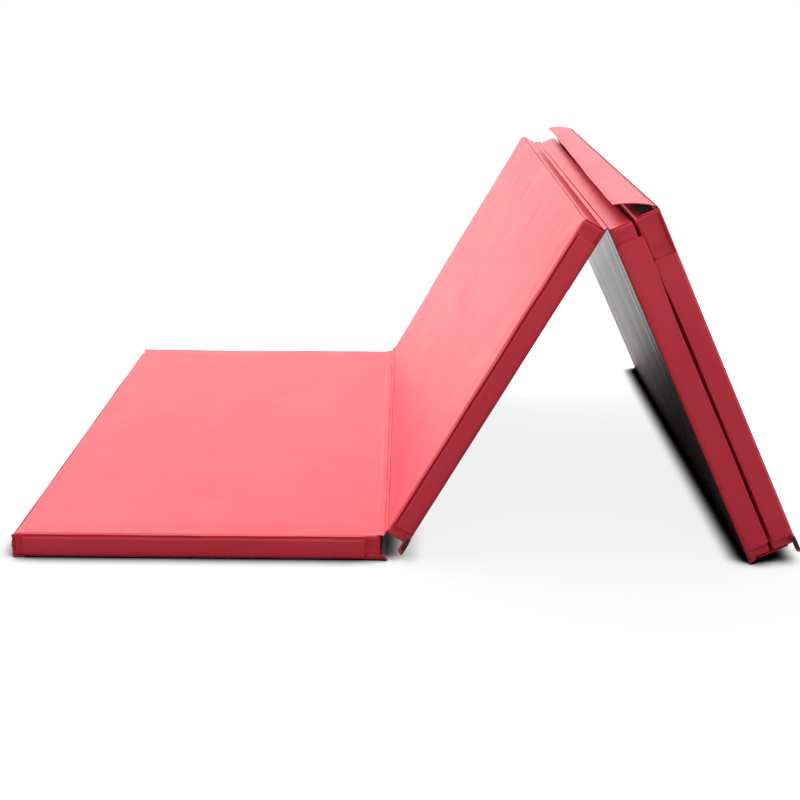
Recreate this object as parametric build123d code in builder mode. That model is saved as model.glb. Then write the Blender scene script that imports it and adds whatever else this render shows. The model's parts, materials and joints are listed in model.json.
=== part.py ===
from build123d import *
import math
import os

# Folding gym mat: four foam-filled panels in vinyl covers, joined edge to edge by three sewn
# fabric hinges, with hook-and-loop flaps along the sides and at both ends.
#
# Frame: X runs along the mat, Y across it and Z is up. The origin is at the middle of the
# mat's outline on the floor, in the pose it stands in here: panel A flat on the floor, panel B
# rising from it, panel C coming down to the floor again, and panel D folded back onto C.
# All sizes are in millimetres and all angles in degrees.

# ---- driving dimensions -------------------------------------------------------------------

PANEL_LENGTH = 594.0
PANEL_WIDTH = 1200.0
PANEL_THICKNESS = 40.0
RISE_ANGLE = 60.0          # panel B above the floor

HINGE_GAP = 6.0            # between the end walls of two panels that lie flat
FOLD_CLEARANCE = 1.0       # from a folding face to its hinge axis

COVER_SKIN = 1.0           # top sheet and walls
UNDERSIDE_SKIN = 1.0
FOAM_CLEARANCE = 0.5       # slack between the foam and its cover
CORNER_RADIUS = 8.0        # upright corners of a panel
RIM_RADIUS = 5.0           # rounded edge around the top sheet

BINDING_DEPTH = 4.5        # how far the sewn binding stands out of a wall
BINDING_SKIN = 1.0
BINDING_TIP = 2.5          # how far a side binding runs on past a panel's end wall

FLAP_SKIN = 1.2
FLAP_CORNER = 2.0
STRIP_SKIN = 1.2           # thickness of a hook strip or a loop strip
STRIP_HEIGHT = 20.0
STRIP_FOOT = 6.2           # from the flap's hinge line to the lower edge of its strip
STRIP_INSET = 10.0         # from the end of a flap to the end of its strip
STRIP_CLEARANCE = 0.3      # between the hooks and the loops
FLAP_AXIS_RISE = 1.8       # hinge line of a flap above the underside

END_FLAP_INSET = 12.0      # from a panel's side wall to the end of an end flap
END_FLAP_HEIGHT = 29.5     # from a flap's hinge line to its free edge
JOINING_FLAP_HEIGHT = 65.0
JOINING_LOOP_HEIGHT = 50.0
JOINING_FLAP_LIFT = 26.0   # how far the joining flap stands open from the end wall

HINGE_WEB_SKIN = 1.2
HINGE_WEB_DEPTH = 5.0      # how far down the end wall a hinge web is sewn
HINGE_WEB_INSET = 12.0     # from a panel's side wall to the end of a hinge web

# Side flaps, each from its hinge line to its free edge. Panel C's reaches its top face.
SIDE_FLAP_HEIGHTS = {"a": 34.0, "b": 32.0, "c": 38.5, "d": 33.5}

# Bare wall left beside each side flap: towards panel A's free end, then towards panel D's.
SIDE_FLAP_MARGINS = {"a": (16.0, 27.0), "b": (24.0, 25.0), "c": (26.0, 22.0), "d": (20.0, 70.0)}

# ---- the zig-zag --------------------------------------------------------------------------


def along(angle):
    """Unit vector in the XZ plane, at an angle above +X."""
    return Vector(math.cos(math.radians(angle)), 0, math.sin(math.radians(angle)))


# Each panel has a direction, from the previous panel to the next, and a top normal.
pitch = PANEL_LENGTH + HINGE_GAP
depth = PANEL_THICKNESS + FOLD_CLEARANCE
depth_through = PANEL_THICKNESS + 2 * FOLD_CLEARANCE

direction = {"a": along(0), "b": along(RISE_ANGLE)}
top_normal = {"a": along(90), "b": along(RISE_ANGLE + 90)}
axis_ab = Vector(0, 0, depth)
axis_bc = axis_ab + direction["b"] * pitch - top_normal["b"] * depth_through

# Panel C falls at the angle that puts the lower edge of its far end on the floor.
reach = PANEL_LENGTH + HINGE_GAP / 2
slant = math.hypot(reach, FOLD_CLEARANCE)
fall_angle = math.degrees(math.asin(axis_bc.Z / slant) + math.atan2(FOLD_CLEARANCE, reach))
direction["c"] = along(-fall_angle)
top_normal["c"] = along(90 - fall_angle)
axis_cd = axis_bc + direction["c"] * pitch + top_normal["c"] * depth_through
direction["d"] = direction["c"] * -1
top_normal["d"] = top_normal["c"] * -1

# Where each panel's underside begins.
half_gap = HINGE_GAP / 2
start = {
    "a": axis_ab - direction["a"] * (PANEL_LENGTH + half_gap) - top_normal["a"] * depth,
    "b": axis_ab + direction["b"] * half_gap - top_normal["b"] * depth,
    "c": axis_bc + direction["c"] * half_gap + top_normal["c"] * FOLD_CLEARANCE,
    "d": axis_cd + direction["d"] * half_gap - top_normal["d"] * depth,
}

# The origin moves to the middle of the outline, from panel A's end binding to the lower tips
# of panel D's side bindings.
outline_left = start["a"].X - BINDING_DEPTH
outline_right = (start["d"] - direction["d"] * BINDING_TIP).X
to_origin = Vector(-(outline_left + outline_right) / 2, 0, 0)
panels = {
    name: Plane(origin=start[name] + to_origin, x_dir=direction[name], z_dir=top_normal[name])
    for name in start
}
hinge_axes = {
    "ab": axis_ab + to_origin,
    "bc": axis_bc + to_origin,
    "cd": axis_cd + to_origin,
}

# ---- panels -------------------------------------------------------------------------------


def upward(panel):
    """Axis through a panel, from its underside to its top."""
    return Axis(panel.origin, panel.z_dir)


def make_foam_core(panel):
    """Foam slab that fills a cover."""
    slack = COVER_SKIN + FOAM_CLEARANCE
    with BuildPart() as core:
        with BuildSketch(panel.offset(UNDERSIDE_SKIN)):
            with Locations((PANEL_LENGTH / 2, 0)):
                RectangleRounded(
                    PANEL_LENGTH - 2 * slack, PANEL_WIDTH - 2 * slack, CORNER_RADIUS - slack
                )
        extrude(amount=PANEL_THICKNESS - UNDERSIDE_SKIN - slack)
        fillet(core.faces().sort_by(upward(panel))[-1].edges(), RIM_RADIUS - slack)
    return core


def make_cover(panel):
    """Top sheet with its side and end walls, open underneath."""
    with BuildPart() as cover:
        with BuildSketch(panel.offset(UNDERSIDE_SKIN)):
            with Locations((PANEL_LENGTH / 2, 0)):
                RectangleRounded(PANEL_LENGTH, PANEL_WIDTH, CORNER_RADIUS)
        extrude(amount=PANEL_THICKNESS - UNDERSIDE_SKIN)
        fillet(cover.faces().sort_by(upward(panel))[-1].edges(), RIM_RADIUS)
        offset(amount=-COVER_SKIN, openings=cover.faces().sort_by(upward(panel))[0])
    return cover


def make_underside(panel):
    """Non-slip sheet that closes a cover underneath."""
    with BuildPart() as underside:
        with BuildSketch(panel):
            with Locations((PANEL_LENGTH / 2, 0)):
                RectangleRounded(PANEL_LENGTH, PANEL_WIDTH, CORNER_RADIUS)
        extrude(amount=UNDERSIDE_SKIN)
    return underside


def make_side_binding(panel, side, tips):
    """Sewn edge along a panel's side, which runs on past the end walls by two tips."""
    with BuildPart() as binding:
        with BuildSketch(panel):
            with Locations(((PANEL_LENGTH + tips[1] - tips[0]) / 2, side * PANEL_WIDTH / 2)):
                Rectangle(
                    PANEL_LENGTH + sum(tips),
                    BINDING_DEPTH,
                    align=(Align.CENTER, Align.MIN if side > 0 else Align.MAX),
                )
        extrude(amount=BINDING_SKIN)
    return binding


def make_end_binding(panel, end):
    """Sewn edge along a panel's free end."""
    with BuildPart() as binding:
        with BuildSketch(panel):
            with Locations((PANEL_LENGTH if end > 0 else 0, 0)):
                Rectangle(
                    BINDING_DEPTH,
                    PANEL_WIDTH - 2 * CORNER_RADIUS,
                    align=(Align.MIN if end > 0 else Align.MAX, Align.CENTER),
                )
        extrude(amount=BINDING_SKIN)
    return binding


# ---- hook-and-loop flaps ------------------------------------------------------------------

# A flap's plane has its origin at the middle of the flap's hinge line. X runs along that line,
# Y up the closed flap and Z out of the wall, so a turn about X opens the flap.
FLAP_AXIS_OUT = STRIP_SKIN + STRIP_CLEARANCE + STRIP_SKIN + FLAP_SKIN / 2


def side_flap_plane(panel, side, margins):
    """Hinge line of a closed flap along a panel's side wall."""
    middle = (margins[0] + PANEL_LENGTH - margins[1]) / 2
    out = side * (PANEL_WIDTH / 2 + FLAP_AXIS_OUT)
    origin = panel.from_local_coords(Vector(middle, out, FLAP_AXIS_RISE))
    return Plane(origin=origin, x_dir=panel.x_dir * -side, z_dir=panel.y_dir * side)


def end_flap_plane(panel, end):
    """Hinge line of a closed flap on a panel's end wall."""
    out = PANEL_LENGTH + FLAP_AXIS_OUT if end > 0 else -FLAP_AXIS_OUT
    origin = panel.from_local_coords(Vector(out, 0, FLAP_AXIS_RISE))
    return Plane(origin=origin, x_dir=panel.y_dir * end, z_dir=panel.x_dir * end)


def opened(flap_plane, angle):
    """The plane of a flap that has turned open about its hinge line."""
    turn = math.radians(angle)
    outward = flap_plane.z_dir * math.cos(turn) - flap_plane.y_dir * math.sin(turn)
    return Plane(origin=flap_plane.origin, x_dir=flap_plane.x_dir, z_dir=outward)


def make_flap(flap_plane, length, height):
    """Vinyl flap, which starts just above the binding."""
    foot = FLAP_AXIS_RISE - BINDING_SKIN - STRIP_CLEARANCE
    with BuildPart() as flap:
        with BuildSketch(flap_plane) as outline:
            with Locations((0, -foot)):
                Rectangle(length, height + foot, align=(Align.CENTER, Align.MIN))
            fillet(outline.vertices().group_by(Axis.Y)[-1], FLAP_CORNER)
        extrude(amount=FLAP_SKIN / 2, both=True)
    return flap


def make_strip(flap_plane, length, height, distance):
    """Hook or loop strip whose inner face lies at a distance out of the flap's plane."""
    with BuildPart() as strip:
        with BuildSketch(flap_plane.offset(distance)):
            with Locations((0, STRIP_FOOT)):
                Rectangle(length, height, align=(Align.CENTER, Align.MIN))
        extrude(amount=STRIP_SKIN)
    return strip


# ---- fabric hinges ------------------------------------------------------------------------


def make_hinge_web(axis, first, second, top_side):
    """Fabric strip sewn across two end walls, which bends along the hinge axis."""
    side = 1 if top_side else -1
    bend = (direction[first] - direction[second]).normalized()
    first_wall = axis - direction[first] * half_gap
    second_wall = axis + direction[second] * (half_gap - STRIP_CLEARANCE)
    upper, lower = FOLD_CLEARANCE + HINGE_WEB_DEPTH, FOLD_CLEARANCE + HINGE_WEB_DEPTH + HINGE_WEB_SKIN
    section = [
        first_wall - top_normal[first] * side * upper,
        axis,
        second_wall - top_normal[second] * side * upper,
        second_wall - top_normal[second] * side * lower,
        axis + bend * HINGE_WEB_SKIN,
        first_wall - top_normal[first] * side * lower,
    ]
    with BuildPart() as web:
        with BuildSketch(Plane.XZ):
            with BuildLine():
                Polyline([(point.X, point.Z) for point in section], close=True)
            make_face()
        extrude(amount=PANEL_WIDTH / 2 - HINGE_WEB_INSET, both=True)
    return web


# ---- the assembly -------------------------------------------------------------------------

os.makedirs("parts", exist_ok=True)


def keep(piece, name):
    """Label a finished piece and write its file."""
    piece.part.label = name
    export_step(piece.part, f"parts/{name}.step")


# The lower tips of panel C's side bindings are trimmed, because that end stands on the floor.
binding_tips = {name: (BINDING_TIP, BINDING_TIP) for name in panels}
binding_tips["c"] = (BINDING_TIP, 0.0)

for name, panel in panels.items():
    keep(make_foam_core(panel), f"foam_core_{name}")
    keep(make_cover(panel), f"cover_{name}")
    keep(make_underside(panel), f"underside_{name}")
    for side_name, side in {"front": -1, "back": 1}.items():
        suffix = f"{name}_{side_name}"
        margins = SIDE_FLAP_MARGINS[name]
        flap_plane = side_flap_plane(panel, side, margins)
        flap_length = PANEL_LENGTH - sum(margins)
        strip_length = flap_length - 2 * STRIP_INSET
        keep(make_side_binding(panel, side, binding_tips[name]), f"side_binding_{suffix}")
        keep(make_flap(flap_plane, flap_length, SIDE_FLAP_HEIGHTS[name]), f"side_flap_{suffix}")
        keep(
            make_strip(flap_plane, strip_length, STRIP_HEIGHT, -FLAP_SKIN / 2 - STRIP_SKIN),
            f"side_loop_strip_{suffix}",
        )
        keep(
            make_strip(flap_plane, strip_length, STRIP_HEIGHT, -FLAP_AXIS_OUT),
            f"side_hook_strip_{suffix}",
        )

end_flap_length = PANEL_WIDTH - 2 * END_FLAP_INSET
end_strip_length = end_flap_length - 2 * STRIP_INSET

# Panel A's end flap lies closed on its end wall.
closed_a = end_flap_plane(panels["a"], -1)
keep(make_end_binding(panels["a"], -1), "end_binding_a")
keep(make_flap(closed_a, end_flap_length, END_FLAP_HEIGHT), "end_flap_a")
keep(
    make_strip(closed_a, end_strip_length, STRIP_HEIGHT, -FLAP_SKIN / 2 - STRIP_SKIN),
    "end_loop_strip_a",
)
keep(make_strip(closed_a, end_strip_length, STRIP_HEIGHT, -FLAP_AXIS_OUT), "end_hook_strip_a")

# Panel D carries the taller flap that joins this mat to the next one. It stands a little open.
closed_d = end_flap_plane(panels["d"], 1)
lifted_d = opened(closed_d, JOINING_FLAP_LIFT)
keep(make_end_binding(panels["d"], 1), "end_binding_d")
keep(make_flap(lifted_d, end_flap_length, JOINING_FLAP_HEIGHT), "end_flap_d")
keep(
    make_strip(lifted_d, end_strip_length, JOINING_LOOP_HEIGHT, -FLAP_SKIN / 2 - STRIP_SKIN),
    "end_loop_strip_d",
)
keep(make_strip(closed_d, end_strip_length, STRIP_HEIGHT, -FLAP_AXIS_OUT), "end_hook_strip_d")

# Panels A and B, and C and D, are hinged at their tops, B and C at their undersides.
keep(make_hinge_web(hinge_axes["ab"], "a", "b", True), "hinge_web_ab")
keep(make_hinge_web(hinge_axes["bc"], "b", "c", False), "hinge_web_bc")
keep(make_hinge_web(hinge_axes["cd"], "c", "d", True), "hinge_web_cd")
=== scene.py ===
import json
import math

import bmesh
import bpy
import numpy as np
from mathutils import Matrix, Vector, noise


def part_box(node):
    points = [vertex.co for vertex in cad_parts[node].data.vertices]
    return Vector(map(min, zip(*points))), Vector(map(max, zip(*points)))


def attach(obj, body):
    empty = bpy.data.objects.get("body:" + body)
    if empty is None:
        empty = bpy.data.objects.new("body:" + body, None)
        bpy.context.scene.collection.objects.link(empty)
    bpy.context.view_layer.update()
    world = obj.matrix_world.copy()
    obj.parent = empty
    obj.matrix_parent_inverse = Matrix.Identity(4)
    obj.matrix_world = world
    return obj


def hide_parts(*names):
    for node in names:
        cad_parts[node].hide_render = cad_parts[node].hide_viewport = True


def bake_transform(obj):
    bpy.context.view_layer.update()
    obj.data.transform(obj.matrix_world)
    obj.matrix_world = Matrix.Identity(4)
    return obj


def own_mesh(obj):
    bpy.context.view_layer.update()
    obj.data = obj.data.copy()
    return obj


# Folding gym mat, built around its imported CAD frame. All lengths are in metres.
#
# Each panel has its own axes: X runs along the mat, Y across it, Z from underside to top.
# Each wall of a panel has axes too: U runs along the wall, V out of it and W up it.

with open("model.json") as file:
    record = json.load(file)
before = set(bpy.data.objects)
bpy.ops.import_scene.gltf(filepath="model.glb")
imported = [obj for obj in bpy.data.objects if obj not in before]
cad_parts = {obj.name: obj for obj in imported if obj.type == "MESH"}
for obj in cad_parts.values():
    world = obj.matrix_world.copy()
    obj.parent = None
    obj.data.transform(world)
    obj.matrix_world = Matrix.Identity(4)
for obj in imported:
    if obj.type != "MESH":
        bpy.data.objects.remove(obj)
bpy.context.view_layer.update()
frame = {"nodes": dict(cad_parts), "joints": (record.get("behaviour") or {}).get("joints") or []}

MM = 0.001

# ---- sizes, from the frame ----------------------------------------------------------------

cover_low, cover_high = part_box("cover_a")
underside_low, underside_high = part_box("underside_a")
flap_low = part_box("side_flap_a_front")[0]

PANEL_LENGTH = cover_high.x - cover_low.x
PANEL_WIDTH = cover_high.y - cover_low.y
PANEL_THICKNESS = cover_high.z - underside_low.z
UNDERSIDE_SKIN = underside_high.z - underside_low.z

joint_place = {joint["name"]: Vector(joint["pos_m"]) for joint in frame["joints"]}
axis_ab = joint_place["fold_ab"]
axis_bc = joint_place["fold_bc"]
axis_cd = joint_place["fold_cd"]

# A fold's axis lies FOLD_CLEARANCE outside the faces that it joins, half a gap past each wall.
FOLD_CLEARANCE = axis_ab.z - PANEL_THICKNESS
HALF_GAP = axis_ab.x - cover_high.x
pitch = PANEL_LENGTH + 2 * HALF_GAP
depth = PANEL_THICKNESS + FOLD_CLEARANCE
skew = math.atan2(depth + FOLD_CLEARANCE, pitch)


def along(angle):
    """Unit vector in the XZ plane, at an angle above +X."""
    return Vector((math.cos(angle), 0, math.sin(angle)))


def heading(start, end):
    """Angle above +X of the line from one point to another."""
    return math.atan2(end.z - start.z, end.x - start.x)


rise = heading(axis_ab, axis_bc) + skew
fall = heading(axis_bc, axis_cd) - skew
panel_angle = {"a": 0.0, "b": rise, "c": fall, "d": fall + math.pi}
direction = {name: along(angle) for name, angle in panel_angle.items()}
top_normal = {name: along(angle + math.pi / 2) for name, angle in panel_angle.items()}
panel_start = {
    "a": axis_ab - direction["a"] * (PANEL_LENGTH + HALF_GAP) - top_normal["a"] * depth,
    "b": axis_ab + direction["b"] * HALF_GAP - top_normal["b"] * depth,
    "c": axis_bc + direction["c"] * HALF_GAP + top_normal["c"] * FOLD_CLEARANCE,
    "d": axis_cd + direction["d"] * HALF_GAP - top_normal["d"] * depth,
}


def axes(x, y, z, origin):
    """Matrix that takes local coordinates to the row frame."""
    matrix = Matrix((x, y, z)).transposed().to_4x4()
    matrix.translation = origin
    return matrix


panel_axes = {
    name: axes(direction[name], Vector((0, 1, 0)), top_normal[name], panel_start[name])
    for name in direction
}

SIDES = {"front": -1, "back": 1}


def side_wall(panel, side):
    """Axes of a side wall. The origin is at the middle of its lower edge."""
    out = Vector((0, side, 0))
    up = Vector((0, 0, 1))
    origin = Vector((PANEL_LENGTH / 2, side * PANEL_WIDTH / 2, 0))
    return panel_axes[panel] @ axes(out.cross(up), out, up, origin)


def end_wall(panel, end):
    """Axes of an end wall. The origin is at the middle of its lower edge."""
    out = Vector((end, 0, 0))
    up = Vector((0, 0, 1))
    origin = Vector((PANEL_LENGTH if end > 0 else 0, 0, 0))
    return panel_axes[panel] @ axes(out.cross(up), out, up, origin)


# ---- materials ----------------------------------------------------------------------------


class Shader:
    """A Principled material and the few node patterns that the pieces here share."""

    def __init__(self, name, color, roughness, specular=0.5):
        self.material = bpy.data.materials.new(name)
        self.material.use_nodes = True
        self.tree = self.material.node_tree
        self.shader = self.tree.nodes["Principled BSDF"]
        self.shader.inputs["Base Color"].default_value = (*color, 1)
        self.shader.inputs["Roughness"].default_value = roughness
        self.shader.inputs["Specular IOR Level"].default_value = specular
        self.coordinates = self.tree.nodes.new("ShaderNodeTexCoord").outputs["Object"]

    def node(self, kind, **settings):
        """A new node, with its plain settings and its input values."""
        made = self.tree.nodes.new(kind)
        for key, value in settings.items():
            if hasattr(made, key):
                setattr(made, key, value)
            else:
                made.inputs[key].default_value = value
        return made

    def link(self, output, target):
        self.tree.links.new(output, target)

    def scaled(self, scale):
        """The piece's own coordinates in metres, stretched by a scale on each axis."""
        mapping = self.node("ShaderNodeMapping")
        mapping.inputs["Scale"].default_value = scale
        self.link(self.coordinates, mapping.inputs["Vector"])
        return mapping.outputs["Vector"]

    def noise(self, scale, detail=3.0, roughness=0.55, distortion=0.0):
        """Noise with a scale on each axis, in periods to the metre."""
        texture = self.node("ShaderNodeTexNoise")
        texture.inputs["Scale"].default_value = 1.0
        texture.inputs["Detail"].default_value = detail
        texture.inputs["Roughness"].default_value = roughness
        texture.inputs["Distortion"].default_value = distortion
        self.link(self.scaled(scale), texture.inputs["Vector"])
        return texture.outputs["Fac"]

    def spread(self, value, low, high):
        """A pattern's value from 0.3 to 0.7 taken to a range."""
        ranged = self.node("ShaderNodeMapRange")
        for key, number in zip(("From Min", "From Max", "To Min", "To Max"), (0.3, 0.7, low, high)):
            ranged.inputs[key].default_value = number
        self.link(value, ranged.inputs["Value"])
        return ranged.outputs["Result"]

    def tint(self, value, dark, light):
        """Base colour between two colours."""
        mix = self.node("ShaderNodeMix", data_type="RGBA")
        mix.inputs["A"].default_value = (*dark, 1)
        mix.inputs["B"].default_value = (*light, 1)
        self.link(value, mix.inputs["Factor"])
        self.link(mix.outputs["Result"], self.shader.inputs["Base Color"])

    def rough(self, value, low, high):
        self.link(self.spread(value, low, high), self.shader.inputs["Roughness"])

    def bump(self, height, distance, strength=1.0):
        """Adds relief on top of what is there already."""
        bump = self.node("ShaderNodeBump")
        bump.inputs["Strength"].default_value = strength
        bump.inputs["Distance"].default_value = distance
        self.link(height, bump.inputs["Height"])
        normal = self.shader.inputs["Normal"]
        if normal.is_linked:
            self.link(normal.links[0].from_socket, bump.inputs["Normal"])
        self.link(bump.outputs["Normal"], normal)


def make_vinyl(name, dark, light):
    """Coated vinyl: slow changes of colour and gloss, fine grain and soft waves."""
    vinyl = Shader(name, light, 0.4)
    vinyl.tint(vinyl.spread(vinyl.noise((7, 5, 9)), 0, 1), dark, light)
    vinyl.rough(vinyl.noise((11, 8, 11), detail=4), 0.37, 0.43)
    vinyl.bump(vinyl.noise((12, 12, 12), detail=2), 0.3 * MM, 0.5)
    vinyl.bump(vinyl.noise((900, 900, 900), detail=2), 0.05 * MM, 0.6)
    return vinyl.material


def make_underside_sheet():
    """Dark glossy sheet with streaks along the panel."""
    sheet = Shader("underside_sheet", (0.08, 0.03, 0.036), 0.3, specular=0.7)
    streaks = sheet.noise((1.2, 26, 10), detail=2, roughness=0.5)
    sheet.tint(sheet.spread(streaks, 0, 1), (0.078, 0.027, 0.034), (0.086, 0.032, 0.038))
    sheet.rough(streaks, 0.24, 0.36)
    sheet.bump(streaks, 0.8 * MM, 0.5)
    sheet.bump(sheet.noise((700, 700, 700), detail=2), 0.05 * MM, 0.6)
    return sheet.material


def make_tape(name, dark, light, pitch_mm):
    """Hook-and-loop tape: a napped face in rows."""
    tape = Shader(name, light, 0.9, specular=0.08)
    rows = 1000 / pitch_mm
    fuzz = tape.noise((rows, rows, rows), detail=5, roughness=0.7)
    tape.tint(tape.spread(fuzz, 0, 1), dark, light)
    tape.bump(fuzz, 0.5 * MM)
    tape.shader.inputs["Sheen Weight"].default_value = 0.08
    return tape.material


def make_thread(name, dark, light):
    thread = Shader(name, light, 0.6)
    twist = thread.noise((1500, 1500, 1500), detail=2)
    thread.tint(thread.spread(twist, 0, 1), dark, light)
    thread.bump(twist, 0.1 * MM)
    return thread.material


red_vinyl = make_vinyl("red_vinyl", (0.75, 0.030, 0.060), (0.81, 0.040, 0.074))
red_binding = make_vinyl("red_binding", (0.50, 0.022, 0.045), (0.62, 0.034, 0.062))
underside_sheet = make_underside_sheet()
hook_tape = make_tape("hook_tape", (0.02, 0.018, 0.017), (0.07, 0.06, 0.055), 1.2)
# The loop tape's near-black colour is painted shade: it is darker than the tape itself, so that it
# reads as the shade under the end flaps.
loop_tape = make_tape("loop_tape", (0.012, 0.010, 0.010), (0.05, 0.042, 0.038), 0.7)
thread = make_thread("red_thread", (0.35, 0.02, 0.03), (0.6, 0.05, 0.08))
# Near-black thread for the corner seams: its colour is painted shade, standing in for the shaded
# stitch holes there.
stitch_hole_shade_thread = make_thread("stitch_hole_shade_thread", (0.03, 0.004, 0.006), (0.1, 0.01, 0.015))

# ---- mesh helpers -------------------------------------------------------------------------


def new_piece(name, points, faces, material, place=None):
    """A mesh object with smooth faces and sharp edges where they fold."""
    mesh = bpy.data.meshes.new(name)
    mesh.from_pydata([tuple(point) for point in points], [], faces)
    mesh.materials.append(material)
    work = bmesh.new()
    work.from_mesh(mesh)
    bmesh.ops.recalc_face_normals(work, faces=work.faces)
    for face in work.faces:
        face.smooth = True
    for edge in work.edges:
        edge.smooth = edge.calc_face_angle(0) < math.radians(50)
    work.to_mesh(mesh)
    work.free()
    piece = bpy.data.objects.new(name, mesh)
    bpy.context.scene.collection.objects.link(piece)
    if place is not None:
        piece.matrix_world = place
    return piece


def loft(name, sections, material, place=None):
    """A closed tube through equal rings of points, with its ends closed."""
    count = len(sections[0])
    points = [point for section in sections for point in section]
    faces = []
    for row in range(len(sections) - 1):
        first, second = row * count, (row + 1) * count
        for i in range(count):
            j = (i + 1) % count
            faces.append((first + i, first + j, second + j, second + i))
    faces.append(tuple(range(count)))
    faces.append(tuple(range(len(points) - count, len(points))))
    return new_piece(name, points, faces, material, place)


def smooth_step(value):
    value = min(1.0, max(0.0, value))
    return value * value * (3 - 2 * value)


def wave(*at):
    """Smooth random number, about -0.5 to 0.5, from up to three coordinates."""
    return noise.noise(Vector((*at, 0, 0)[:3]))


def even(low, high, step):
    """Evenly spaced numbers from low to high, at most a step apart."""
    return np.linspace(low, high, max(2, math.ceil((high - low) / step) + 1))


def with_edges(length, edge_steps, step):
    """Places from 0 to length, close together near both ends."""
    inner = even(edge_steps[-1], length - edge_steps[-1], step)
    return np.concatenate([edge_steps[:-1], inner, [length - e for e in edge_steps[:-1]][::-1]])


def box_grid(xs, ys, zs):
    """Points and quads of a box's surface, divided at the given places."""
    index = {}
    points = []

    def point(i, j, k):
        if (i, j, k) not in index:
            index[i, j, k] = len(points)
            points.append((xs[i], ys[j], zs[k]))
        return index[i, j, k]

    last = (len(xs) - 1, len(ys) - 1, len(zs) - 1)
    faces = []
    for axis in range(3):
        u, v = (axis + 1) % 3, (axis + 2) % 3
        for end in (0, last[axis]):
            for p in range(last[u]):
                for q in range(last[v]):
                    corners = []
                    for du, dv in ((0, 0), (1, 0), (1, 1), (0, 1)):
                        at = [0, 0, 0]
                        at[axis], at[u], at[v] = end, p + du, q + dv
                        corners.append(point(*at))
                    faces.append(tuple(corners))
    return np.array(points), faces


# ---- pads ---------------------------------------------------------------------------------

PAD_CELL = 11 * MM
PAD_EDGE = [0.0, 1.2 * MM, 3 * MM, 5.5 * MM, 9 * MM]
PAD_ROUND = 5.5 * MM        # radius of a pad's edges
PAD_SLACK = 0.9 * MM        # how much smaller a pad starts than its cover, before it swells
PAD_SWELL = 2.2 * MM        # how far a point may move while it swells
PAD_SHRINK = 0.15           # share that is kept of a move towards the middle of the pad
PAD_PROUD = 0.3 * MM        # how far it may end outside the cover's faces
PAD_WAVE = 1.0 * MM         # unevenness of a pad's faces
SIDE_REACH = (14 * MM, 12 * MM)     # where a side wall's relief starts, and how soon it is full
SIM_FRAMES = 20


def rounded(points, size, radius):
    """Rounds the edges of a box that runs from 0 to size."""
    inner = np.clip(points, radius, np.array(size) - radius)
    offset = points - inner
    length = np.linalg.norm(offset, axis=1, keepdims=True)
    return inner + offset / np.maximum(length, 1e-9) * np.minimum(length, radius)


def inflate(piece, pinned, swell):
    """Swells a closed mesh as cloth under pressure, with a limit to each point's movement."""
    group = piece.vertex_groups.new(name="pin")
    group.add(pinned, 1.0, "REPLACE")
    before = np.array([v.co for v in piece.data.vertices])
    modifier = piece.modifiers.new("Cloth", "CLOTH")
    cloth = modifier.settings
    cloth.quality = 5
    cloth.mass = 0.25
    cloth.tension_stiffness = 12
    cloth.compression_stiffness = 12
    cloth.shear_stiffness = 4
    cloth.bending_stiffness = 0.4
    cloth.use_pressure = True
    cloth.uniform_pressure_force = 4
    cloth.vertex_group_mass = "pin"
    cloth.effector_weights.gravity = 0
    modifier.collision_settings.use_collision = False
    modifier.point_cache.frame_start = 1
    modifier.point_cache.frame_end = SIM_FRAMES
    for number in range(1, SIM_FRAMES + 1):
        bpy.context.scene.frame_set(number)
    evaluated = piece.evaluated_get(bpy.context.evaluated_depsgraph_get())
    after = np.array([v.co for v in evaluated.data.vertices])
    piece.modifiers.remove(modifier)
    piece.vertex_groups.clear()
    bpy.context.scene.frame_set(1)
    move = after - before
    length = np.linalg.norm(move, axis=1, keepdims=True)
    move *= swell * np.tanh(length / swell) / np.maximum(length, 1e-9)
    # The foam keeps the sides where they are.
    inward = move * (before - before.mean(0)) < 0
    move[inward] *= PAD_SHRINK
    piece.data.vertices.foreach_set("co", (before + move).ravel())


def subdivide(piece, levels):
    """Applies Catmull-Clark subdivision."""
    modifier = piece.modifiers.new("Subdivision", "SUBSURF")
    modifier.levels = levels
    modifier.render_levels = levels
    evaluated = piece.evaluated_get(bpy.context.evaluated_depsgraph_get())
    piece.data = bpy.data.meshes.new_from_object(evaluated)
    piece.modifiers.remove(modifier)


# Long soft folds in a top sheet: place across the panel, slant, width and height, in metres.
LONG_FOLDS = {
    "b": [
        (-0.47, 0.03, 0.026, -0.8 * MM),
        (-0.36, 0.05, 0.030, 0.9 * MM),
        (-0.22, 0.08, 0.020, -1.3 * MM),
        (-0.10, 0.05, 0.034, 0.9 * MM),
        (0.04, 0.06, 0.018, -1.4 * MM),
        (0.17, 0.04, 0.032, 0.9 * MM),
        (0.33, 0.03, 0.022, -1.0 * MM),
        (0.48, 0.02, 0.026, -0.8 * MM),
    ],
    "a": [(-0.30, 0.10, 0.060, -0.35 * MM), (0.15, -0.08, 0.070, 0.35 * MM)],
    "c": [(-0.25, 0.06, 0.040, -0.6 * MM), (0.20, 0.04, 0.035, 0.5 * MM)],
    "d": [(-0.32, -0.05, 0.035, 0.5 * MM), (0.10, 0.07, 0.040, -0.6 * MM)],
}


def long_folds(folds, x, y):
    """Height of a set of long folds, which fade out towards the panel's ends."""
    share = x / PANEL_LENGTH
    fade = smooth_step(share / 0.3) * smooth_step((1 - share) / 0.12)
    height = 0.0
    for middle, slant, width, tall in folds:
        wander = slant * (share - 0.5) + 0.02 * wave(share * 2.3, middle * 9)
        height += tall * math.exp(-(((y - middle - wander) / width) ** 2))
    return height * fade


def bump_at(distance, width):
    return math.exp(-((distance / width) ** 2))


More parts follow.
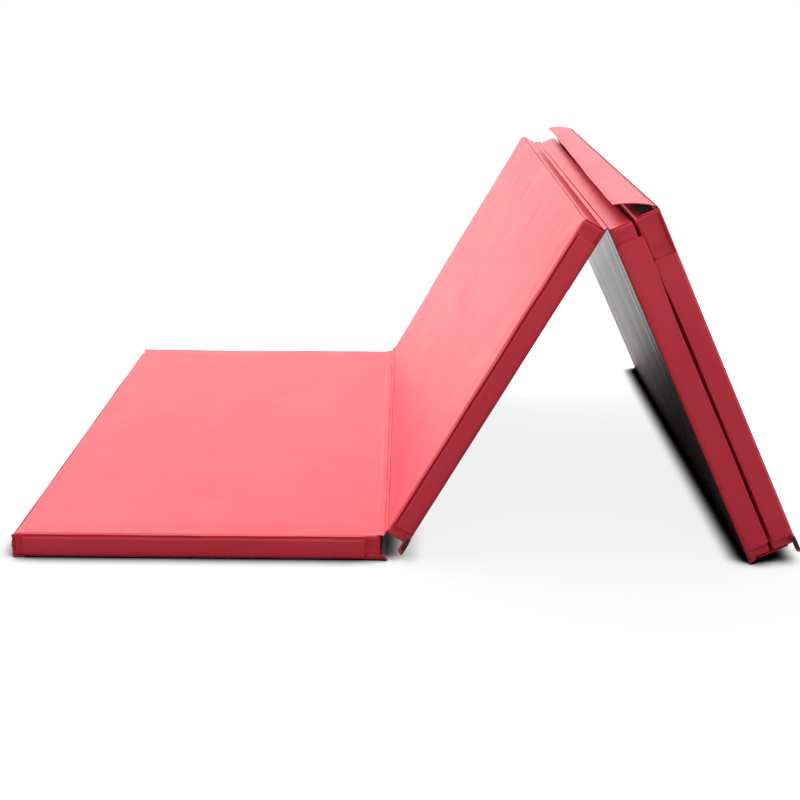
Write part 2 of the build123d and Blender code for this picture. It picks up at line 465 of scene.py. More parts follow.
DENT = 3.0 * MM             # hollow in the bare wall just past each end of a side flap
DENT_REACH = 8 * MM
GROOVE = 4.6 * MM           # how far the wall pulls in above a side flap's free edge
RIM = {"a": 2.2 * MM, "b": 2.2 * MM, "c": -7.0 * MM, "d": -12.0 * MM}   # swell of the top edge
RIM_DEPTH = 2 * MM          # from the top face down to the middle of the rim
RIM_WIDTH = {"a": 1.9 * MM, "b": 2.2 * MM, "c": 3.5 * MM, "d": 4.5 * MM}
WEB_LAP = 8 * MM            # how much of the A-B hinge web lies on each panel
WEB_RECESS = 0.5 * MM       # how far a panel is pressed in under a hinge web
BLUNT_FOOT = 8 * MM         # how far the foam stops short of the seam that panel C stands on
BLUNT_REACH = 25 * MM       # how far back from that seam it starts to
# Where hinge webs lie: on a panel's top, and on its end walls.
WEBBED_TOPS = {"a": PANEL_LENGTH, "b": 0.0}
WEBBED_ENDS = {"b": [PANEL_LENGTH], "c": [0.0, PANEL_LENGTH], "d": [0.0]}

# Where the free edges of C's and D's flaps rise to meet, towards the peak: the place along the
# panel where they start to rise, how far on they are at full height, and by how much.
EDGE_RISE = {"c": (185 * MM, -110 * MM, 3.6 * MM), "d": (409 * MM, 110 * MM, 1.8 * MM)}


def edge_rise(name, x):
    start, reach, rise = EDGE_RISE.get(name, (0, 1, 0))
    return rise * smooth_step((x - start) / reach)


def wall_pull(name, x, z):
    """How far a panel's side wall pulls in at a point."""
    low, high = flap_span[name]
    dents = bump_at(x - low + DENT_REACH, DENT_REACH) + bump_at(x - high - DENT_REACH, DENT_REACH)
    middle = bump_at(z - PANEL_THICKNESS * 0.5, PANEL_THICKNESS * 0.36)
    inside = smooth_step((x - low) / DENT_REACH) * smooth_step((high - x) / DENT_REACH)
    edge = bump_at(z - flap_top[name] - 0.8 * MM, 2.2 * MM)
    # Where C's and D's flaps meet, their rims are full again.
    risen = edge_rise(name, x) / EDGE_RISE[name][2] if name in EDGE_RISE else 0
    rim = bump_at(z - PANEL_THICKNESS + RIM_DEPTH, RIM_WIDTH[name]) * (1 - 0.7 * risen)
    return DENT * dents * middle + GROOVE * inside * edge - RIM[name] * rim * inside


def under_web(name, x):
    """1 where a hinge web lies on a panel's top, and 0 away from it."""
    if name not in WEBBED_TOPS:
        return 0.0
    return smooth_step((WEB_LAP + 1 * MM - abs(x - WEBBED_TOPS[name])) / (3 * MM))


def make_pad(name):
    """A panel's vinyl cover, filled with its foam."""
    size = (PANEL_LENGTH, PANEL_WIDTH, PANEL_THICKNESS - UNDERSIDE_SKIN)
    start = [side - 2 * PAD_SLACK for side in size[:2]] + [size[2] - PAD_SLACK]
    xs = with_edges(start[0], PAD_EDGE, PAD_CELL)
    ys = with_edges(start[1], PAD_EDGE, PAD_CELL)
    zs = with_edges(start[2], PAD_EDGE, 6 * MM)
    box_points, faces = box_grid(xs, ys, zs)
    points = rounded(box_points, start, PAD_ROUND)
    # The lower edge isn't rounded: the wall is sewn to the underside there.
    low = box_points[:, 2] < PAD_ROUND
    points[low, 2] = box_points[low, 2]
    points += np.array([PAD_SLACK, PAD_SLACK - PANEL_WIDTH / 2, UNDERSIDE_SKIN])
    pad = new_piece(f"pad_{name}", points, faces, red_vinyl)
    pinned = [i for i, point in enumerate(points) if point[2] < UNDERSIDE_SKIN + 1e-5]
    inflate(pad, pinned, PAD_SWELL)
    subdivide(pad, 1)
    seed = ord(name)
    top = PANEL_THICKNESS + PAD_PROUD
    half = PANEL_WIDTH / 2
    for vertex in pad.data.vertices:
        x, y, z = vertex.co
        share = smooth_step((z - UNDERSIDE_SKIN) / (PANEL_THICKNESS / 2))
        pressed = under_web(name, x)
        relief = 0.8 * PAD_WAVE * wave(x * 5 + seed, y * 4) + long_folds(LONG_FOLDS[name], x, y)
        z += share * relief * (1 - pressed)
        side = smooth_step((abs(y) - half + SIDE_REACH[0]) / SIDE_REACH[1])
        y -= math.copysign(side * wall_pull(name, x, z), y)
        z += share * side * 0.9 * PAD_WAVE * wave(x * 14, seed, y)
        z = min(z, top - (top - PANEL_THICKNESS + WEB_RECESS) * pressed)
        x += share * PAD_WAVE * wave(y * 9, z * 20, seed)
        y += share * PAD_WAVE * wave(x * 12, z * 20, seed + 0.5)
        ends = WEBBED_ENDS.get(name, [])
        lowest = WEB_RECESS if 0.0 in ends else -PAD_PROUD
        highest = PANEL_LENGTH - WEB_RECESS if PANEL_LENGTH in ends else PANEL_LENGTH + PAD_PROUD
        x = min(highest, max(lowest, x))
        y = math.copysign(min(half + 3 * MM, abs(y)), y)
        if name == "c":
            blunt = smooth_step((x - PANEL_LENGTH + BLUNT_REACH) / BLUNT_REACH)
            x -= BLUNT_FOOT * blunt * bump_at(z, 9 * MM)
        vertex.co = (x, y, min(top, z))
    pad.matrix_world = panel_axes[name]
    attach(pad, f"panel_{name}")
    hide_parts(f"cover_{name}", f"foam_core_{name}")
    return pad


SHEET_CORNER = 8 * MM
SHEET_CELL = 14 * MM


def make_underside(name):
    """The dark sheet under a panel."""
    xs = with_edges(PANEL_LENGTH, PAD_EDGE, SHEET_CELL)
    ys = with_edges(PANEL_WIDTH, PAD_EDGE, SHEET_CELL)
    points, faces = box_grid(xs, ys, np.array([0, UNDERSIDE_SKIN]))
    far = np.array([PANEL_LENGTH, PANEL_WIDTH]) - SHEET_CORNER
    inner = np.clip(points[:, :2], SHEET_CORNER, far)
    offset = points[:, :2] - inner
    length = np.linalg.norm(offset, axis=1, keepdims=True)
    points[:, :2] = inner + offset / np.maximum(length, 1e-9) * np.minimum(length, SHEET_CORNER)
    points[:, 1] -= PANEL_WIDTH / 2
    for point in points:
        edge = min(point[0], PANEL_LENGTH - point[0], PANEL_WIDTH / 2 - abs(point[1]))
        inside = smooth_step(edge / (40 * MM))
        point[2] += inside * 0.5 * MM * (0.5 + wave(point[0] * 3, point[1] * 26, ord(name)))
    piece = new_piece(f"underside_sheet_{name}", points, faces, underside_sheet, panel_axes[name])
    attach(piece, f"panel_{name}")
    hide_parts(f"underside_{name}")
    return piece


# ---- strips of sheet ----------------------------------------------------------------------


EDGE_THIN = 0.7             # thickness of a strip at its edges, as a share
NOSE = 0.3                  # how far its rounded edge goes past its middle line, in thicknesses


def ring_of(centre, thickness):
    """Outline of a thin section whose middle line is a list of points (v, w)."""
    line = [Vector(point) for point in centre]
    last = len(line) - 1
    left, right = [], []
    for i, point in enumerate(line):
        tangent = (line[min(last, i + 1)] - line[max(0, i - 1)]).normalized()
        normal = Vector((-tangent.y, tangent.x))
        half = thickness / 2 * (EDGE_THIN if i in (0, last) else 1)
        left.append(point + normal * half)
        right.append(point - normal * half)
    first_nose = line[0] - (line[1] - line[0]).normalized() * thickness * NOSE
    last_nose = line[-1] + (line[-1] - line[-2]).normalized() * thickness * NOSE
    return left + [last_nose] + right[::-1] + [first_nose]


def ribbon(name, stations, thickness, material, place=None):
    """A strip of sheet: at each place u along it, the middle line of its section."""
    sections = [
        [(u, point.x, point.y) for point in ring_of(centre, thickness)]
        for u, centre in stations
    ]
    return loft(name, sections, material, place)


def arc_length(centre):
    return sum((Vector(b) - Vector(a)).length for a, b in zip(centre, centre[1:]))


STITCH_PITCH = 4.5 * MM
STITCH_LENGTH = 3.1 * MM
STITCH_RADIUS = 0.33 * MM


def make_stitches(name, rows, place, body, material=thread):
    """Rows of stitches. A row is a function from u to the point (u, v, w) on the sheet."""
    points, faces = [], []
    for row, low, high in rows:
        for u in np.arange(low, high - STITCH_LENGTH, STITCH_PITCH):
            ends = [Vector(row(u)), Vector(row(u + STITCH_LENGTH))]
            middle = (ends[0] + ends[1]) / 2
            ahead = (ends[1] - ends[0]).normalized()
            across = ahead.cross(Vector((0, 0, 1))).normalized() * STITCH_RADIUS
            up = across.cross(ahead).normalized() * STITCH_RADIUS
            base = len(points)
            points.append(ends[0])
            for at in (-0.3, 0.3):
                centre = middle + ahead * STITCH_LENGTH * at
                points += [centre + across, centre + up, centre - across, centre - up]
            points.append(ends[1])
            for i in range(4):
                j = (i + 1) % 4
                faces.append((base, base + 1 + i, base + 1 + j))
                faces.append((base + 1 + i, base + 5 + i, base + 5 + j, base + 1 + j))
                faces.append((base + 9, base + 5 + j, base + 5 + i))
    stitches = new_piece(name, points, faces, material, place)
    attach(stitches, body)
    return stitches


# ---- hook-and-loop flaps ------------------------------------------------------------------

FLAP_SKIN = 1.2 * MM
FLAP_OUT = cover_low.y - (flap_low.y + FLAP_SKIN / 2)   # from its wall to its middle line
FLAP_FOOT = flap_low.z - underside_low.z
FLAP_STEP = 5 * MM
FLAP_ENDS = [0.0, 0.5 * MM, 1.5 * MM, 3 * MM]
FLAP_BULGE = 1.7 * MM
HEM_SHARE = 0.9             # how far up a side flap its upper row of stitches is
FOOT_SHARE = 0.14           # and its lower one
STITCH_INSET = 3 * MM       # from a side flap's ends to the ends of the rows


def local_box(node, place):
    """Lowest and highest corner of a CAD node in some axes."""
    inverse = place.inverted()
    points = np.array([inverse @ v.co for v in frame["nodes"][node].data.vertices])
    return Vector(points.min(0)), Vector(points.max(0))


# How much lower than its CAD solid a flap's free edge is, so that the groove above it shows.
EDGE_DROP = {"a": 3.0 * MM, "b": 2.5 * MM, "c": 0.0, "d": 0.0}

flap_span, flap_top = {}, {}
for name in panel_axes:
    span_low, span_high = local_box(f"side_flap_{name}_front", panel_axes[name])
    flap_span[name] = (span_low.x, span_high.x)
    flap_top[name] = span_high.z - EDGE_DROP[name]


def flap_out(share, bow):
    """How far out a closed flap is, a share of the way up it: it bulges, and its edge bows."""
    return FLAP_OUT + FLAP_BULGE * math.sin(math.pi * share**0.6) + bow * share**3


def flap_centre(height, foot, bow):
    """Middle line of a closed flap's section, which turns in at its foot."""
    line = [(FLAP_OUT - 1.6 * MM, foot + 0.3 * MM), (FLAP_OUT - 0.5 * MM, foot + 1.0 * MM)]
    for share in (0.07, 0.15, 0.27, 0.4, 0.55, 0.7, 0.85, 0.94, 1.0):
        line.append((flap_out(share, bow), foot + (height - foot) * share))
    return line


def make_side_flap(name, side_name):
    """A side flap, closed over its wall."""
    node = f"side_flap_{name}_{side_name}"
    body = node
    place = side_wall(name, SIDES[side_name])
    low, high = local_box(node, place)
    seed = ord(name) * 3 + SIDES[side_name]

    def shape(u):
        """Height and bow of the free edge."""
        end = smooth_step(min(u - low.x, high.x - u) / (30 * MM))
        bow = (0.2 + 1.3 * (0.5 + wave(u * 9, seed, 3))) * MM * (0.35 + 0.65 * end)
        x = PANEL_LENGTH / 2 + SIDES[side_name] * u
        return flap_top[name] + end * 1.0 * MM * wave(u * 7, seed) + edge_rise(name, x), bow

    us = low.x + with_edges(high.x - low.x, FLAP_ENDS, FLAP_STEP)
    stations = []
    for u in us:
        height, bow = shape(u)
        drop = 1.5 * MM * (1 - smooth_step(min(u - low.x, high.x - u) / (2 * MM)))
        stations.append((u, flap_centre(height - drop, FLAP_FOOT, bow)))
    flap = ribbon(node + "_vinyl", stations, FLAP_SKIN, red_vinyl, place)

    def row(share):
        """A row of stitches, a share of the way up the flap."""

        def at(u):
            height, bow = shape(u)
            up = FLAP_FOOT + (height - FLAP_FOOT) * share
            return (u, flap_out(share, bow) + FLAP_SKIN / 2, up)

        return (at, low.x + STITCH_INSET, high.x - STITCH_INSET)

    rows = [row(HEM_SHARE), row(FOOT_SHARE)]
    stitches = make_stitches(f"stitches_{node}", rows, place, body)
    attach(flap, body)
    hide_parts(node)


# The joining flap narrows from front to back, where its free edge has curled.
JOINING_NARROW = 0.78
LOOP_INSET = 18 * MM        # from the end of its CAD strip to the end of an end flap's loop tape
FLAP_LIFT = 0.9 * MM        # from the hinge line to the foot of an end flap, above its binding
JOINING_HEM = 0.93          # how far up an end flap its upper row of stitches is
end_flap_place = {"a": end_wall("a", -1), "d": end_wall("d", 1)}


def opened_flap(place, node):
    """Axes of an end flap that has turned about its foot, and its height."""
    low, high = local_box(node, place)
    hinge = Vector((0, FLAP_OUT, FLAP_FOOT))
    reach = Vector((0, high.y - FLAP_OUT, high.z - FLAP_FOOT))
    lift = math.atan2(reach.y, reach.z) if reach.y > 2 * FLAP_SKIN else 0.0
    turned = place @ Matrix.Translation(hinge) @ Matrix.Rotation(-lift, 4, "X")
    return turned, reach.length, low.x, high.x


def make_end_flap(name, narrow):
    """An end flap. Its own axes start at its foot: V is out of it and W up it."""
    node = f"end_flap_{name}"
    turned, height, low, high = opened_flap(end_flap_place[name], node)
    loose = name == "d"

    def shape(u):
        """Height, bow and curl at a place along the flap. U runs to the front."""
        back = smooth_step((high - u) / (high - low)) if loose else 0.0
        tall = height * (1 - (1 - narrow) * back)
        return tall + 1.2 * MM * wave(u * 6, 2), (2.2 if loose else 0.8) * MM * wave(u * 5, 7)

    def centre(u, out=0.0, share=1.0, start=0.0):
        tall, bow = shape(u)
        line = []
        for step in (0.0, 0.04, 0.12, 0.25, 0.4, 0.55, 0.7, 0.82, 0.92, 1.0):
            along_flap = start + (share - start) * step
            curve = bow * along_flap**2
            if loose:
                curve += 3.0 * MM * math.sin(math.pi * along_flap)
            sewn_in = 1.0 * MM * (1 - smooth_step(along_flap / 0.1))
            line.append((out + curve - sewn_in, tall * along_flap))
        return line

    us = low + with_edges(high - low, FLAP_ENDS, 8 * MM)
    foot_up = FLAP_LIFT / height
    stations = [(u, centre(u, start=foot_up)) for u in us]
    flap = ribbon(node + "_vinyl", stations, FLAP_SKIN, red_vinyl, turned)

    def row(share):
        """A row of stitches, a share of the way up the flap."""

        def at(u):
            out, up = centre(u, FLAP_SKIN / 2, share)[-1]
            return (u, out, up)

        return (at, low + 4 * MM, high - 4 * MM)

    stitches = make_stitches(f"stitches_{node}", [row(0.09), row(JOINING_HEM)], turned, node)
    loops_low, loops_high = local_box(f"end_loop_strip_{name}", turned)
    # The flap's loop tape is drawn near-black, as painted shade under the flap.
    first, last = loops_low.z / height, min(JOINING_HEM, loops_high.z / height)
    under = -FLAP_SKIN - 0.05 * MM
    loop_length = loops_high.x - loops_low.x - 2 * LOOP_INSET
    loop_us = loops_low.x + LOOP_INSET + with_edges(loop_length, FLAP_ENDS, 8 * MM)
    loop_stations = [(u, centre(u, under, last, first)) for u in loop_us]
    loops = ribbon(f"loop_tape_end_flap_{name}", loop_stations, FLAP_SKIN, loop_tape, turned)
    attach(flap, node)
    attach(loops, node)
    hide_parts(node)
    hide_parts(f"end_loop_strip_{name}")
    if loose:
        # The flap bends up where panel B comes level with panel C; here each of its pieces only
        # gets a mesh of its own.
        for piece in (flap, loops, stitches):
            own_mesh(piece)


# ---- bindings -----------------------------------------------------------------------------

# The ends of a side binding, at each panel's start and end: how far its tip runs past the end
# wall, and how high it turns up where no flap covers it.
BINDING_ENDS = {
    "a": ((1 * MM, 0.5 * MM), (9 * MM, 8 * MM)),
    "b": ((15 * MM, 8 * MM), (4 * MM, 3 * MM)),
    "c": ((4 * MM, 4 * MM), (0.5 * MM, 11 * MM)),
    "d": ((13 * MM, 5 * MM), (2 * MM, 2 * MM)),
}
BINDING_SKIN = 1.0 * MM
FOOT_TONGUE = 9 * MM        # how far the end of panel C's binding spreads over the floor
TONGUE_BASE = 4 * MM        # how far back from its end it spreads


def binding_centre(name, x):
    """Middle line of a side binding's section, at a place along its panel."""
    low, high = flap_span[name]
    bare = smooth_step((low - x) / (4 * MM)) + smooth_step((x - high) / (4 * MM))
    past = max(0.0, -x, x - PANEL_LENGTH)
    tip, turned_up = BINDING_ENDS[name][0 if x < PANEL_LENGTH / 2 else 1]
    taper = 1 - 0.8 * smooth_step((past - tip + 4 * MM) / (4 * MM)) if past else 1
    lift = (turned_up * bare + 0.6 * MM) * taper
    out = (1.7 + 2.6 * bare) * MM + past * 0.25
    inner = past * 0.3 - 2 * MM
    line = [
        (inner, 0.6 * MM),
        (inner + (out - inner) * 0.6, 0.55 * MM),
        (out - 0.3 * MM, 0.7 * MM + lift * 0.12),
        (out, 0.7 * MM + lift * 0.4),
        (out + 0.4 * MM * bare, 0.7 * MM + lift),
    ]
    if name != "c":
        return line
    # Panel C stands on this end, so the binding spreads out over the floor there.
    tongue = smooth_step((x - PANEL_LENGTH + TONGUE_BASE) / TONGUE_BASE)
    spread = [(0.0, 0.0), (0.1, 0.05), (0.35, 0.2), (0.7, 0.55), (1.0, 0.9)]
    flat = [
        (inner + (FOOT_TONGUE - inner) * out_share, 0.6 * MM - 6 * MM * down)
        for out_share, down in spread
    ]
    return [tuple(Vector(a).lerp(Vector(b), tongue)) for a, b in zip(line, flat)]


def make_side_binding(name, side_name):
    node = f"side_binding_{name}_{side_name}"
    side = SIDES[side_name]
    place = side_wall(name, side)
    tips = [tip for tip, turned_up in BINDING_ENDS[name]]
    close = [0.0, 1 * MM, 2 * MM, 4 * MM, 6 * MM, 8 * MM, 10 * MM]
    xs = -tips[0] + with_edges(PANEL_LENGTH + sum(tips), close, 5 * MM)
    stations = []
    for x in xs:
        # U runs against X on the front walls.
        stations.append(((x - PANEL_LENGTH / 2) * side, binding_centre(name, x)))
    piece = ribbon(f"binding_{name}_{side_name}", stations, BINDING_SKIN, red_binding, place)
    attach(piece, f"panel_{name}")
    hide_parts(node)


def make_end_binding(name):
    node = f"end_binding_{name}"
    place = end_flap_place[name]
    low, high = local_box(node, place)
    line = [(0.2, 0.6), (1.5, 0.6), (2.6, 0.7), (3.4, 0.8)]
    centre = [(out * MM, up * MM) for out, up in line]
    us = low.x + with_edges(high.x - low.x, FLAP_ENDS, 15 * MM)
    stations = [(u, centre) for u in us]
    piece = ribbon(f"binding_{name}_end", stations, BINDING_SKIN, red_binding, place)
    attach(piece, f"panel_{name}")
    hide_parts(node)


# The underside sheet has loose corners at the lower ends of B and D, below the bindings.
TAB_REACH = 26 * MM
TAB_SKIN = 0.8 * MM


def make_underside_tab(name, side_name):
    side = SIDES[side_name]
    place = side_wall(name, side)
    stations = []
    for step in np.linspace(0, 1, 9):
        x = -0.85 * BINDING_ENDS[name][0][0] + TAB_REACH * step
        drop = 1 - smooth_step((step - 0.55) / 0.45)
        top = 6.5 * MM * smooth_step((step + 0.1) / 0.4)
        out = 4.7 * MM + 1.6 * MM * drop
        centre = [
            (2.0 * MM, -0.3 * MM),
            (out - 0.8 * MM, -0.5 * MM * drop),
            (out, 1.5 * MM),
            (out + 0.2 * MM, max(2.2 * MM, top)),
        ]
        stations.append(((x - PANEL_LENGTH / 2) * side, centre))
    label = f"underside_corner_{name}_{side_name}"
    tab = ribbon(label, stations, TAB_SKIN, underside_sheet, place)
    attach(tab, f"panel_{name}")


# ---- fabric hinges ------------------------------------------------------------------------

WEB_INSET = 3 * MM          # from a panel's side wall to the end of a hinge web
WEB_SKIN = 0.7 * MM
WEB_HEM = 0.45 * MM          # how far a web's edges are sunk into the panels


def panel_point(name, x, z):
    """A point of a panel's section, in the row frame, as (X, Z)."""
    point = panel_start[name] + direction[name] * x + top_normal[name] * z
    return (point.x, point.z)


def top_web_line(first, second, sink):
    """Section of a web that joins two top faces, from the first panel to the second."""
    z = PANEL_THICKNESS
    far = PANEL_LENGTH
    axis = axis_ab + (top_normal[first] + top_normal[second]).normalized() * -sink
    return [
        panel_point(first, far - WEB_LAP, z - WEB_HEM),
        panel_point(first, far - WEB_LAP * 0.75, z),
        panel_point(first, far - WEB_LAP * 0.3, z + 0.1 * MM),
        panel_point(first, far - 0.5 * MM, z - 0.3 * MM),
        (axis.x, axis.z),
        panel_point(second, 0.5 * MM, z - 0.3 * MM),
        panel_point(second, WEB_LAP * 0.3, z + 0.1 * MM),
        panel_point(second, WEB_LAP * 0.75, z),
        panel_point(second, WEB_LAP, z - WEB_HEM),
    ]


def wall_web_line(first, second, middle, z_near, z_far):
    """Section of a web that joins two end walls past a hinge axis."""
    share = (0.92, 0.6, 0.25, 0.0)
    heights = [z_near + (z_far - z_near) * part for part in share]
    return [
        panel_point(first, PANEL_LENGTH - WEB_HEM, z_far),
        *[panel_point(first, PANEL_LENGTH, z) for z in heights],
        (middle.x, middle.z),
        *[panel_point(second, 0.0, z) for z in reversed(heights)],
        panel_point(second, WEB_HEM, z_far),
    ]


def make_web(key, line_at):
    """A hinge web. line_at gives its section at a place across the mat."""
    half = PANEL_WIDTH / 2 - WEB_INSET
    stations = [(y, line_at(y)) for y in -half + with_edges(2 * half, FLAP_ENDS, 10 * MM)]
    swap = Matrix(((0, 1, 0, 0), (1, 0, 0, 0), (0, 0, 1, 0), (0, 0, 0, 1)))
    web = ribbon(f"hinge_web_{key}_vinyl", stations, WEB_SKIN, red_vinyl, swap)
    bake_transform(web)
    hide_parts(f"hinge_web_{key}")
    arc_length(line_at(0))


def make_webs():
    far_up = PANEL_THICKNESS * 0.88

    def ab(y):
        return top_web_line("a", "b", (1.6 + 1.2 * wave(y * 11, 3)) * MM)

    def bc(y):
        up = (top_normal["b"] + top_normal["c"]).normalized()
        return wall_web_line("b", "c", axis_bc + up * (1.8 + wave(y * 9, 5)) * MM, 3 * MM, far_up)

    def cd(y):
        middle = axis_cd - direction["c"] * (HALF_GAP - (0.2 + 0.6 * wave(y * 9, 8)) * MM)
        return wall_web_line("c", "d", middle, PANEL_THICKNESS - 3 * MM, PANEL_THICKNESS * 0.35)

    make_web("ab", ab)
    make_web("bc", bc)
    make_web("cd", cd)


# ---- corner seams at the free ends --------------------------------------------------------

SEAM_PROUD = 5 * MM         # how far a corner's seam stands out
SEAM_SKIN = 1.6 * MM
SEAM_SUNK = 1.5 * MM        # how far its inner edge is sunk into the corner


def make_corner_seam(name, end, side_name):
    """The puckered seam up a corner of the cover: end is -1 at a panel's start, 1 at its end."""
    side = SIDES[side_name]
    corner = (PANEL_LENGTH if end > 0 else 0, side * PANEL_WIDTH / 2)
    seed = ord(name) + side

    def fin(z, out):
        """A point of the seam, a share of the way out of the corner."""
        share = z / PANEL_THICKNESS
        stand = SEAM_PROUD * (0.55 + 0.45 * math.sin(math.pi * share))
        stand *= 1 + 0.6 * wave(share * 5, seed)
        pucker = 1.6 * MM * wave(share * 7, seed + 5) * out
        sunk = SEAM_SUNK * (1 - out)
        # The seam leans towards the side wall.
        past_end = 0.35 * stand * out + pucker - sunk
        return Vector((end * past_end, side * (0.8 * stand * out - sunk)))

    sections = []
    for z in np.linspace(1.5 * MM, PANEL_THICKNESS - 2 * MM, 28):
        ring = ring_of([fin(z, out) for out in (0, 0.35, 0.7, 1.0)], SEAM_SKIN)
        sections.append([(corner[0] + p.x, corner[1] + p.y, z) for p in ring])
    seam = loft(f"corner_seam_{name}_{side_name}", sections, red_vinyl, panel_axes[name])
    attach(seam, f"panel_{name}")

    def row(z):
        at = fin(z, 0.6)
        normal = Vector((-end * 0.8, side * 0.35)) * SEAM_SKIN * 0.5
        return (corner[0] + at.x - normal.x, corner[1] + at.y + normal.y, z)

    rows = [(row, 3 * MM, PANEL_THICKNESS - 3 * MM)]
    label = f"stitches_corner_{name}_{side_name}"
    # The corner seam's stitches take the near-black thread, as painted shade of the stitch holes.
    make_stitches(label, rows, panel_axes[name], f"panel_{name}", stitch_hole_shade_thread)


# ---- the mat ------------------------------------------------------------------------------

for name in panel_axes:
    make_pad(name)
    make_underside(name)
    for side_name in SIDES:
        make_side_flap(name, side_name)
        make_side_binding(name, side_name)
for side_name in SIDES:
    make_underside_tab("b", side_name)
    make_underside_tab("d", side_name)
    make_corner_seam("a", -1, side_name)
    make_corner_seam("d", 1, side_name)
make_end_flap("a", 1.0)
make_end_flap("d", JOINING_NARROW)
for name in end_flap_place:
    make_end_binding(name)
make_webs()

# The other hook and loop strips keep their CAD shapes. Their loop strips take the near-black loop
# tape, whose dark colour is painted shade.
for node_name, node in frame["nodes"].items():
    for part, tape in (("hook_strip", hook_tape), ("loop_strip", loop_tape)):
        if part in node_name:
            node.data.materials.clear()
            node.data.materials.append(tape)

# ---- stage: floor, light and camera --------------------------------------------------------

FLOOR_HALF = 1.5
FLOOR_DROP = 0.3 * MM       # how far below the mat it lies
CONTACT_SHADOW = 42 * MM    # how far from the mat the floor darkens
CONTACT_BLACK = 0.42        # openness at which the floor is black
CONTACT_CLEAR = 0.97        # and at which it is fully lit
FLOOR_GLOW = 0.85
# The floor's colour in front of the mat and behind it, and the two places, along Y.
FLOOR_FRONT, FLOOR_BACK = (0.16, 0.16, 0.16), (0.85, 0.85, 0.85)
FLOOR_FROM, FLOOR_TO = -0.7, 0.9


def make_floor():
    """A pale floor that lights itself, so that only the contact shadows are dark.

    It reflects less light in front of the mat, so that the mat's front walls are darker.
    """
    surface = Shader("floor", (0.4, 0.4, 0.4), 0.9, specular=0.0)
    across = surface.node("ShaderNodeSeparateXYZ")
    surface.link(surface.coordinates, across.inputs["Vector"])
    lighter = surface.node("ShaderNodeMapRange", interpolation_type="SMOOTHSTEP")
    lighter.inputs["From Min"].default_value = FLOOR_FROM
    lighter.inputs["From Max"].default_value = FLOOR_TO
    surface.link(across.outputs["Y"], lighter.inputs["Value"])
    surface.tint(lighter.outputs["Result"], FLOOR_FRONT, FLOOR_BACK)
    # Painted contact shadow: an ambient-occlusion node darkens the floor's glow and its colour near
    # the mat.
    occlusion = surface.node("ShaderNodeAmbientOcclusion")
    occlusion.inputs["Distance"].default_value = CONTACT_SHADOW
    lit = surface.node("ShaderNodeMapRange", interpolation_type="SMOOTHSTEP")
    lit.inputs["From Min"].default_value = CONTACT_BLACK
    lit.inputs["From Max"].default_value = CONTACT_CLEAR
    surface.link(occlusion.outputs["AO"], lit.inputs["Value"])
    shaded = surface.node("ShaderNodeVectorMath", operation="SCALE")
    plain = surface.shader.inputs["Base Color"].links[0].from_socket
    surface.link(plain, shaded.inputs[0])
    surface.link(lit.outputs["Result"], shaded.inputs["Scale"])
    surface.link(shaded.outputs["Vector"], surface.shader.inputs["Base Color"])
    rays = surface.node("ShaderNodeLightPath")
    seen = surface.node("ShaderNodeMath", operation="MULTIPLY")
    surface.link(lit.outputs["Result"], seen.inputs[0])
    surface.link(rays.outputs["Is Camera Ray"], seen.inputs[1])
    glow = surface.node("ShaderNodeMath", operation="MULTIPLY")
    glow.inputs[1].default_value = FLOOR_GLOW
    surface.link(seen.outputs["Value"], glow.inputs[0])
    surface.link(glow.outputs["Value"], surface.shader.inputs["Emission Strength"])
    surface.shader.inputs["Emission Color"].default_value = (1, 1, 1, 1)
    corners = [(-1, -1), (1, -1), (1, 1), (-1, 1)]
    points = [(x * FLOOR_HALF, y * FLOOR_HALF, 0) for x, y in corners]
    floor = new_piece("floor", points, [(0, 1, 2, 3)], surface.material)
    floor.location.z = -FLOOR_DROP


KEY_POWER = 1.75
KEY_SPREAD = math.radians(70)
KEY_DIRECTION = Vector((0.5, -0.4, -1))


def make_key_light():
    """Very soft light from above, a little from the left and from behind the mat."""
    light = bpy.data.lights.new("overhead", "SUN")
    light.energy = KEY_POWER
    light.angle = KEY_SPREAD
    lamp = bpy.data.objects.new("overhead", light)
    bpy.context.scene.collection.objects.link(lamp)
    lamp.rotation_euler = KEY_DIRECTION.to_track_quat("-Z", "Y").to_euler()


SKY_LIGHT = 0.68            # strength of the light from all around
# What a reflection shows in front of the mat and behind it, and the two directions' Y.
SHINE_FRONT, SHINE_BACK = 0.05, 1.5
SHINE_FROM, SHINE_TO = -0.9, 0.35


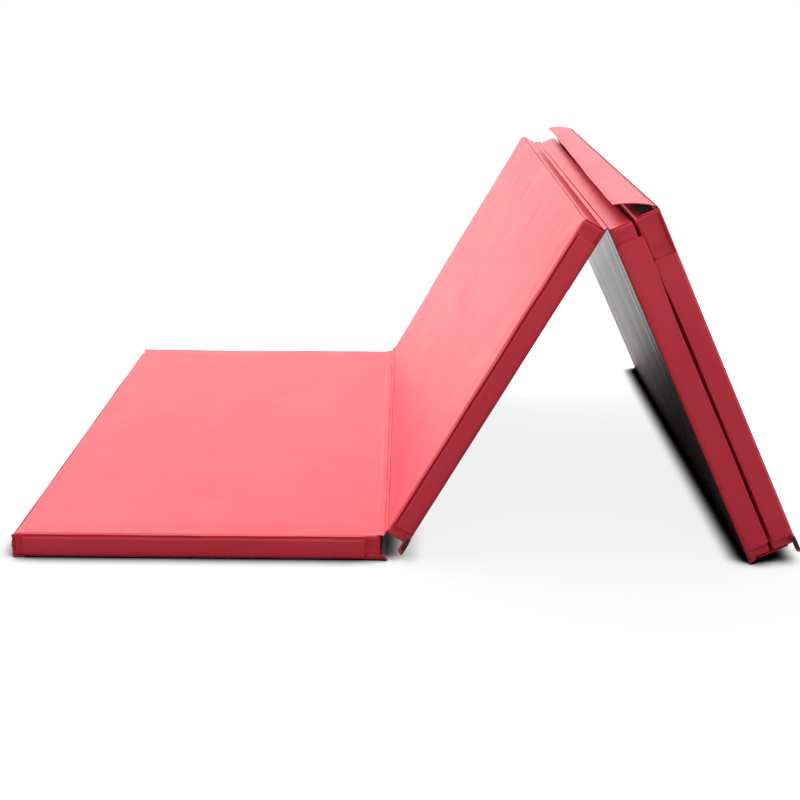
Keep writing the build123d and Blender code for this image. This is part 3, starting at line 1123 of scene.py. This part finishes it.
def make_world():
    """White surroundings. Their reflections are bright behind the mat and dim in front of it."""
    world = bpy.data.worlds.new("studio")
    bpy.context.scene.world = world
    world.use_nodes = True
    tree = world.node_tree
    background = tree.nodes["Background"]
    coordinates = tree.nodes.new("ShaderNodeTexCoord")
    axes_of = tree.nodes.new("ShaderNodeSeparateXYZ")
    ranged = tree.nodes.new("ShaderNodeMapRange")
    ranged.interpolation_type = "SMOOTHSTEP"
    ranged.inputs["From Min"].default_value = SHINE_FROM
    ranged.inputs["From Max"].default_value = SHINE_TO
    ranged.inputs["To Min"].default_value = SHINE_FRONT
    ranged.inputs["To Max"].default_value = SHINE_BACK
    seen = tree.nodes.new("ShaderNodeLightPath")
    reflected = tree.nodes.new("ShaderNodeMix")
    reflected.inputs["A"].default_value = SKY_LIGHT
    brightest = tree.nodes.new("ShaderNodeMath")
    brightest.operation = "MAXIMUM"
    tree.links.new(coordinates.outputs["Generated"], axes_of.inputs["Vector"])
    tree.links.new(axes_of.outputs["Y"], ranged.inputs["Value"])
    tree.links.new(ranged.outputs["Result"], reflected.inputs["B"])
    tree.links.new(seen.outputs["Is Glossy Ray"], reflected.inputs["Factor"])
    tree.links.new(reflected.outputs["Result"], brightest.inputs[0])
    tree.links.new(seen.outputs["Is Camera Ray"], brightest.inputs[1])
    tree.links.new(brightest.outputs["Value"], background.inputs["Strength"])
    background.inputs["Color"].default_value = (1, 1, 1, 1)


# The camera that matches the photograph: metres, radians, and millimetres for the lens.
CAMERA_PLACE = (-0.0009, -2.7279, 0.8961)
CAMERA_YAW = -0.0032
CAMERA_PITCH = 0.2867
CAMERA_ROLL = 0.0081
CAMERA_LENS = 63.81


def make_camera():
    data = bpy.data.cameras.new("camera")
    data.lens = CAMERA_LENS
    data.sensor_width = 36
    camera = bpy.data.objects.new("camera", data)
    bpy.context.scene.collection.objects.link(camera)
    level = Vector((math.sin(CAMERA_YAW), math.cos(CAMERA_YAW), 0))
    right = Vector((level.y, -level.x, 0))
    forward = level * math.cos(CAMERA_PITCH) - Vector((0, 0, math.sin(CAMERA_PITCH)))
    up = right.cross(forward)
    turned_right = right * math.cos(CAMERA_ROLL) + up * math.sin(CAMERA_ROLL)
    turned_up = up * math.cos(CAMERA_ROLL) - right * math.sin(CAMERA_ROLL)
    camera.matrix_world = axes(turned_right, turned_up, -forward, Vector(CAMERA_PLACE))
    bpy.context.scene.camera = camera


make_floor()
make_world()
make_key_light()
make_camera()
bpy.context.scene.view_settings.view_transform = "Standard"
